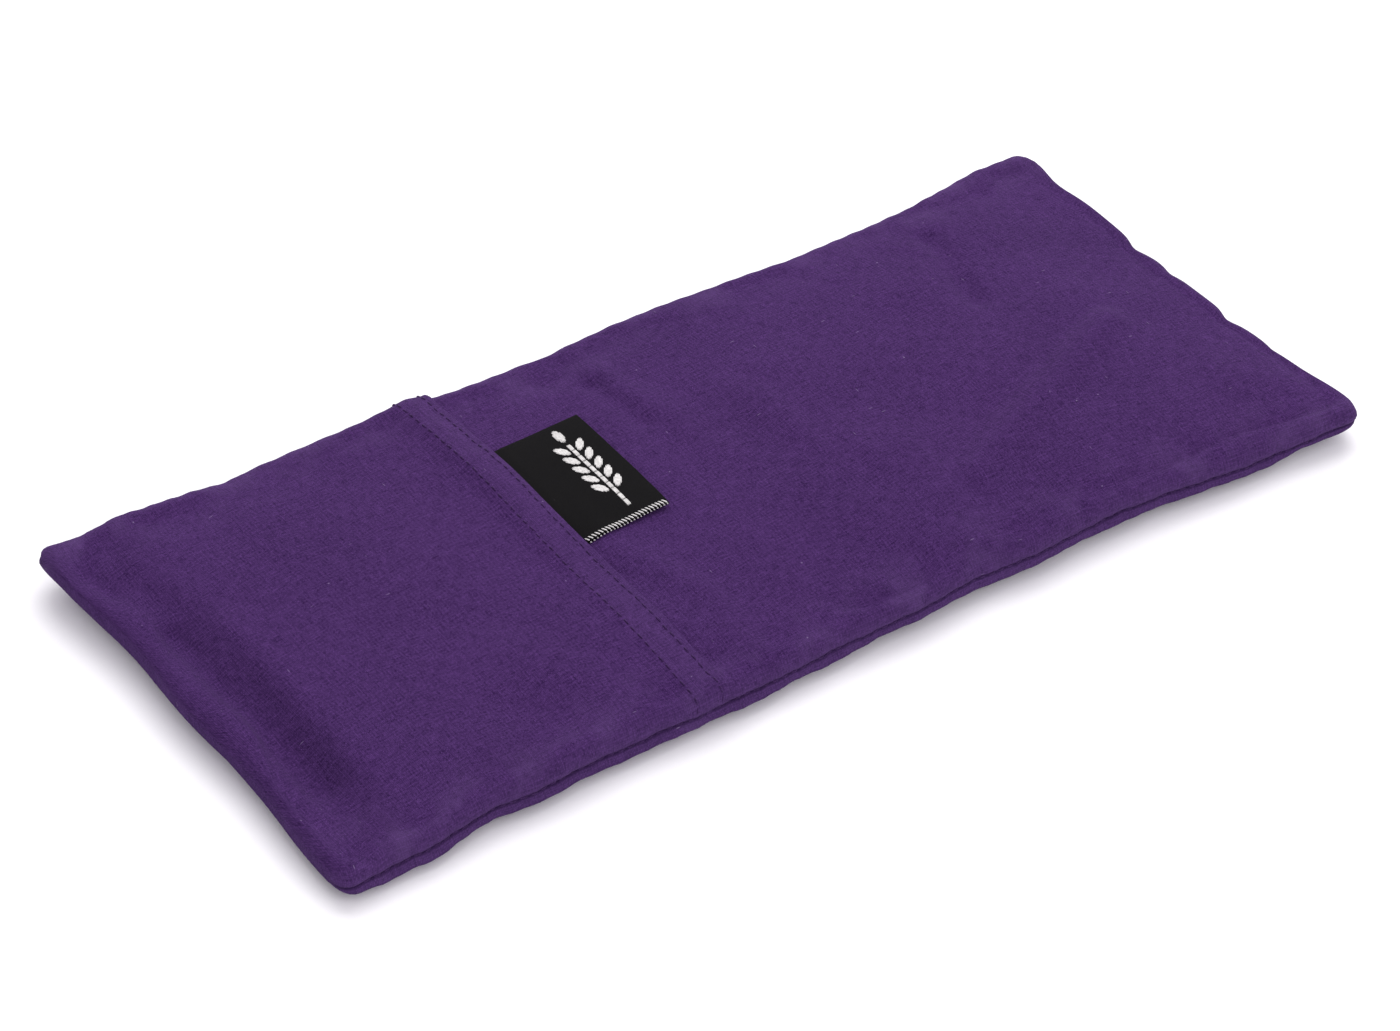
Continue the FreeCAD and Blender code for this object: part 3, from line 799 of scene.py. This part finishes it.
# ---- materials ----
class Nodes:
    """Builds a material's node tree from numbers, colours and sockets."""

    def __init__(self, name, roughness, sheen=0.0, sheen_tint=(1, 1, 1), specular=0.3):
        self.material = bpy.data.materials.new(name)
        self.material.use_nodes = True
        self.tree = self.material.node_tree
        self.shader = self.tree.nodes["Principled BSDF"]
        for socket, value in (("Roughness", roughness), ("Specular IOR Level", specular),
                              ("Sheen Weight", sheen), ("Sheen Roughness", 0.45),
                              ("Sheen Tint", (*sheen_tint, 1.0))):
            self.shader.inputs[socket].default_value = value

    def put(self, socket, value):
        if isinstance(value, bpy.types.NodeSocket):
            self.tree.links.new(value, socket)
        else:
            socket.default_value = value

    def math(self, operation, a, b=0.0, c=0.0):
        node = self.tree.nodes.new("ShaderNodeMath")
        node.operation = operation
        for socket, value in zip(node.inputs, (a, b, c)):
            self.put(socket, value)
        return node.outputs[0]

    def plus(self, a, b):
        return self.math("ADD", a, b)

    def times(self, a, b):
        return self.math("MULTIPLY", a, b)

    def either(self, share, a, b):
        """a where share is 1 and b where it is 0."""
        return self.plus(self.times(a, share), self.times(b, self.math("SUBTRACT", 1.0, share)))

    def attribute(self, name, output):
        node = self.tree.nodes.new("ShaderNodeAttribute")
        node.attribute_name = name
        return node.outputs[output]

    def place(self):
        """The place in space, in millimetres."""
        node = self.tree.nodes.new("ShaderNodeTexCoord")
        return self.scaled(node.outputs["Object"], (1 / MM, 1 / MM, 1 / MM))

    def node(self, kind, **values):
        """A new node with its named inputs set or linked."""
        node = self.tree.nodes.new("ShaderNode" + kind)
        for name, value in values.items():
            self.put(node.inputs[name], value)
        return node

    def scaled(self, vector, scale, turn=0.0):
        return self.node("Mapping", Vector=vector, Scale=scale, Rotation=(0.0, 0.0, turn)).outputs[0]

    def noise(self, vector, scale, detail=2.0):
        return self.node("TexNoise", Vector=vector, Scale=scale, Detail=detail).outputs["Fac"]

    def cells(self, vector, scale):
        """Distance from the middle of the nearest cell."""
        return self.node("TexVoronoi", Vector=vector, Scale=scale).outputs["Distance"]

    def split(self, vector):
        parts = self.node("SeparateXYZ", Vector=vector).outputs
        return parts[0], parts[1]

    def ramp(self, value, low, high, to_low=0.0, to_high=1.0):
        node = self.tree.nodes.new("ShaderNodeMapRange")
        for socket, number in zip(node.inputs, (value, low, high, to_low, to_high)):
            self.put(socket, number)
        return node.outputs[0]

    def mix(self, share, a, b):
        node = self.tree.nodes.new("ShaderNodeMix")
        node.data_type = "RGBA"
        self.put(node.inputs[0], share)
        for socket, value in ((node.inputs[6], a), (node.inputs[7], b)):
            self.put(socket, (*value, 1.0) if isinstance(value, tuple) else value)
        return node.outputs[2]

    def finish(self, color, height, depth_mm, roughness=None):
        """Joins colour and relief to the shader; depth_mm is the relief's full height."""
        self.put(self.shader.inputs["Base Color"], color)
        if roughness is not None:
            self.put(self.shader.inputs["Roughness"], roughness)
        bump = self.node("Bump", Distance=depth_mm * MM, Height=height)
        self.put(self.shader.inputs["Normal"], bump.outputs[0])
        return self.material


def weave(n, vector, pitch):
    """A plain weave of threads pitch apart.  Returns its height and each thread's own shade."""
    wander = n.math("MULTIPLY_ADD", n.noise(vector, 0.35), 0.36, -0.18)
    x, y = n.split(vector)
    x, y = n.plus(x, wander), n.math("SUBTRACT", y, wander)
    wave_x = n.math("SINE", n.times(x, math.pi / pitch))
    wave_y = n.math("SINE", n.times(y, math.pi / pitch))
    over = n.ramp(n.times(wave_x, wave_y), -0.25, 0.25)
    warp, weft = n.math("ABSOLUTE", wave_x), n.math("ABSOLUTE", wave_y)
    lift = n.either(over, warp, weft)
    along_x = n.noise(n.scaled(vector, (0.35, 3.2, 1.0)), 1.0, 3.0)
    along_y = n.noise(n.scaled(vector, (3.2, 0.35, 1.0)), 1.0, 3.0)
    return lift, n.either(over, along_x, along_y)


COTTON_PITCH = 0.31
COTTON_DARK = (0.017, 0.0050, 0.038)
COTTON = (0.050, 0.0170, 0.093)
COTTON_PALE = (0.092, 0.038, 0.160)
# pale cotton for wear, also used as painted light on the seams' rims
COTTON_WORN_AND_PAINTED_LIGHT = (0.120, 0.066, 0.190)
LINT = (0.26, 0.19, 0.34)
PAINTED_GROOVE_SHADE = (0.009, 0.0026, 0.022)   # painted shade for the cloth in the side seams' grooves


def cotton_material():
    """Purple plain-weave cotton, a little faded on its high spots and dotted with lint, with painted
    light on its seams' rims and painted shade in its weave and the seams' grooves.
    """
    n = Nodes("purple_cotton", roughness=0.92, sheen=0.03, sheen_tint=(0.8, 0.7, 0.95), specular=0.04)
    place = n.attribute("cloth", "Vector")
    lift, shade = weave(n, place, COTTON_PITCH)
    mottle = n.noise(place, 2.1, 3.0)
    patchy = n.noise(place, 0.05, 2.0)
    tone = n.plus(n.times(shade, 0.62), n.times(mottle, 0.38))
    tone = n.plus(tone, n.times(patchy, 0.08))
    color = n.mix(n.ramp(tone, 0.38, 0.71), COTTON_DARK, COTTON_PALE)
    color = n.mix(0.12, color, COTTON)
    strip, _ = n.split(place)
    from_seam = n.attribute("from_seam", "Fac")
    rubbed = n.ramp(n.noise(place, 0.11, 3.0), 0.44, 0.68, 0.0, 0.36)
    seam_wear = n.times(n.ramp(from_seam, 3.0, 15.0, 1.0, 0.0), rubbed)
    from_hem = n.math("ABSOLUTE", n.math("SUBTRACT", strip, 1.5 * HEM_DEPTH))
    hem_wear = n.ramp(from_hem, 0.35 * HEM_DEPTH, 0.55 * HEM_DEPTH, 0.10, 0.0)
    # paler within a few millimetres of the side seams: partly wear, partly painted light on the lip
    # below the seam, which faces away from the lamps
    rim_wear_and_painted_light = n.ramp(from_seam, 0.8, 4.0, 0.22, 0.0)
    wear_and_painted_light = n.math("MAXIMUM", n.math("MAXIMUM", seam_wear, rim_wear_and_painted_light), hem_wear)
    color = n.mix(wear_and_painted_light, color, COTTON_WORN_AND_PAINTED_LIGHT)
    # painted shade: the cloth is darker in the weave's hollows between threads
    color = n.mix(n.ramp(lift, 0.05, 0.55, 0.45, 0.0), color, COTTON_DARK)
    # painted shade: the cloth darkens in the side seams' grooves
    color = n.mix(n.ramp(from_seam, 0.05, 0.5, 0.70, 0.0), color, PAINTED_GROOVE_SHADE)
    fibres = n.math("MINIMUM", n.cells(n.scaled(place, (1.0, 0.14, 1.0), 0.5), 0.42),
                    n.cells(n.scaled(place, (0.16, 1.0, 1.0), -0.35), 0.36))
    specks = n.math("MINIMUM", fibres, n.cells(place, 0.16))
    color = n.mix(n.ramp(specks, 0.018, 0.034, 0.50, 0.0), color, LINT)
    slubs = n.times(shade, 0.8)
    return n.finish(color, n.plus(lift, slubs), 0.055)


def thread_material(name, dark, light):
    """Two-ply sewing thread: fine slanted plies along its length."""
    n = Nodes(name, roughness=0.75, sheen=0.02, specular=0.12)
    place = n.place()
    x, y = n.split(place)
    plies = n.math("SINE", n.times(n.plus(x, y), math.tau / 0.22))
    fuzz = n.noise(place, 1.6, 3.0)
    # the tone follows the plies, so the grooves between them are painted darker as shade; the fuzz is
    # the yarn's own uneven tone
    tone = n.plus(n.times(plies, 0.25), fuzz)
    return n.finish(n.mix(n.ramp(tone, 0.2, 0.85), dark, light), tone, 0.03)


def label_material():
    """Black satin-faced ribbon: fine ribs across its length, slightly shiny."""
    n = Nodes("label_black", roughness=0.6, specular=0.03)
    place = n.attribute("cloth", "Vector")
    x, y = n.split(place)
    ribs = n.math("ABSOLUTE", n.math("SINE", n.times(y, math.pi / 0.20)))
    picks = n.math("ABSOLUTE", n.math("SINE", n.times(x, math.pi / 0.24)))
    grain = n.noise(n.scaled(place, (0.8, 6.0, 1.0)), 1.0, 3.0)
    relief = n.plus(n.times(ribs, 0.7), n.times(picks, 0.4))
    # painted shade: the tone follows the ribs' relief, so their hollows are darker than their tops; the
    # grain is the ribbon's own uneven tone
    tone = n.plus(n.times(relief, 0.4), n.times(grain, 0.7))
    color = n.mix(n.ramp(tone, 0.25, 0.95), (0.0016, 0.0014, 0.0017), (0.0062, 0.0057, 0.0063))
    dust = n.ramp(n.cells(place, 0.35), 0.02, 0.04, 0.25, 0.0)
    return n.finish(n.mix(dust, color, (0.16, 0.14, 0.15)), relief, 0.03,
                    n.ramp(grain, 0.2, 0.8, 0.52, 0.70))


def muslin_material():
    n = Nodes("inner_muslin", roughness=0.9, sheen=0.1, specular=0.2)
    place = n.attribute("cloth", "Vector")
    lift, shade = weave(n, place, 0.55)
    color = n.mix(n.ramp(shade, 0.3, 0.8), (0.55, 0.49, 0.38), (0.74, 0.69, 0.58))
    return n.finish(color, lift, 0.09)


def seed_material():
    """Glossy brown linseed: oval cells, each with its own shade."""
    n = Nodes("linseed", roughness=0.35, specular=0.5)
    place = n.scaled(n.place(), (0.55, 0.30, 0.55), 0.6)
    seeds = n.cells(place, 1.0)
    tone = n.noise(n.place(), 0.4, 2.0)
    color = n.mix(n.ramp(tone, 0.3, 0.7), (0.115, 0.046, 0.016), (0.24, 0.115, 0.045))
    # painted shade darkens the gaps between the seeds
    color = n.mix(n.ramp(seeds, 0.35, 0.6), color, (0.02, 0.01, 0.005))
    return n.finish(color, n.ramp(seeds, 0.0, 0.6, 1.0, 0.0), 0.6)


def floor_material():
    """A plain white sweep; a faint tooth keeps it from being a flat colour."""
    n = Nodes("white_sweep", roughness=0.9, specular=0.1)
    tooth = n.noise(n.place(), 0.8, 2.0)
    return n.finish(n.mix(tooth, (0.93, 0.93, 0.935), (0.95, 0.95, 0.955)), tooth, 0.01)


# ---- setting ----
AZIMUTH, ELEVATION, ROLL = -38.26, 39.78, 3.18   # degrees
DISTANCE = 0.8701
LOOK_AT = Vector((-0.0032, 0.0015, 0.0))
LENS = 120.06


def camera():
    data = bpy.data.cameras.new("camera")
    data.lens = LENS
    data.sensor_width = 36.0
    data.clip_start, data.clip_end = 0.01, 20.0
    obj = bpy.data.objects.new("camera", data)
    bpy.context.scene.collection.objects.link(obj)
    turn, rise, roll = (math.radians(a) for a in (AZIMUTH, ELEVATION, ROLL))
    back = Vector((math.sin(turn) * math.cos(rise), -math.cos(turn) * math.cos(rise), math.sin(rise)))
    right = (-back).cross(Vector((0, 0, 1))).normalized()
    above = right.cross(-back)
    tilted = right * math.cos(roll) + above * math.sin(roll)
    upright = above * math.cos(roll) - right * math.sin(roll)
    turned = Matrix((tilted, upright, back)).transposed().to_4x4()
    obj.matrix_world = Matrix.Translation(LOOK_AT + back * DISTANCE) @ turned
    bpy.context.scene.camera = obj


def softbox(name, place, size, power):
    """A rectangular light that points at the middle of the pillow."""
    data = bpy.data.lights.new(name, "AREA")
    data.shape = "RECTANGLE"
    data.size, data.size_y = size
    data.energy = power
    obj = bpy.data.objects.new(name, data)
    obj.location = place
    obj.rotation_euler = (-Vector(place)).to_track_quat("-Z", "Y").to_euler()
    bpy.context.scene.collection.objects.link(obj)


def setting():
    world = bpy.data.worlds.new("studio")
    world.use_nodes = True
    background = world.node_tree.nodes["Background"]
    background.inputs["Color"].default_value = (0.975, 0.94, 1.0, 1.0)
    background.inputs["Strength"].default_value = 0.86
    bpy.context.scene.world = world
    bpy.context.scene.view_settings.view_transform = "Standard"
    softbox("key", place=(0.54, 0.70, 0.98), size=(1.3, 1.3), power=15.5)
    softbox("front", place=(0.2, -1.1, 0.9), size=(1.2, 0.8), power=4.0)
    far = 4000.0
    floor = mesh_object("floor", [(-far, -far, 0), (far, -far, 0), (far, far, 0), (-far, far, 0)],
                        [(0, 1, 2, 3)])
    floor.data.materials.append(floor_material())


# ---- the whole pillow ----
def put(obj, material, body, slot, *nodes):
    """Gives a piece its material and its body and hides the CAD nodes that it replaces; slot is not
    used.
    """
    obj.data.materials.append(material)
    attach(obj, body)
    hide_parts(*nodes)


def build():
    purple = thread_material("purple_thread", dark=(0.018, 0.0062, 0.036), light=(0.070, 0.026, 0.125))
    white = thread_material("white_yarn", dark=(0.50, 0.49, 0.47), light=(0.86, 0.85, 0.83))
    natural = thread_material("natural_thread", dark=(0.45, 0.42, 0.36), light=(0.75, 0.72, 0.64))

    strip, grids = cover()
    put(strip, cotton_material(), "pillow", "cover_cotton",
        "cover_underside", "cover_inner_flap", "cover_outer_flap")

    for make in (hem_threads, inner_hem_threads, seam_threads, overlock_threads):
        for thread, node in make(grids):
            put(thread, purple, "pillow", "purple_thread", node)

    bag, top = inner_form("inner_bag", inset=2.4, lump=0.12, seed=51)
    put(bag, muslin_material(), "pillow", "inner_muslin", "inner_bag_top", "inner_bag_bottom")
    for thread, node in bag_threads(top):
        put(thread, natural, "pillow", "natural_thread", node)
    seeds, _ = inner_form("linseed_fill_seeds", inset=3.1, lump=0.25, seed=52)
    put(seeds, seed_material(), "pillow", "linseed", "linseed_fill")

    ribbon, selvage, sprig = [lean(make(grids)) for make in (label_ribbon, label_selvage, label_sprig)]
    bend = [((HINGE[0] + step) * MM, HINGE[1] * MM, HINGE[2] * MM) for step in (-1.3, 1.5)]
    for piece, material, slot, nodes in (
            (ribbon, label_material(), "label_black", ("label_tail", "label_flag")),
            (selvage, white, "label_white", ("label_selvage",))):
        piece.data.materials.append(material)
        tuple(bend[0])
        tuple(bend[1])
        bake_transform(piece)
        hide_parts(*nodes)
    put(sprig, white, "label", "label_white", "label_motif")


build()
camera()
setting()
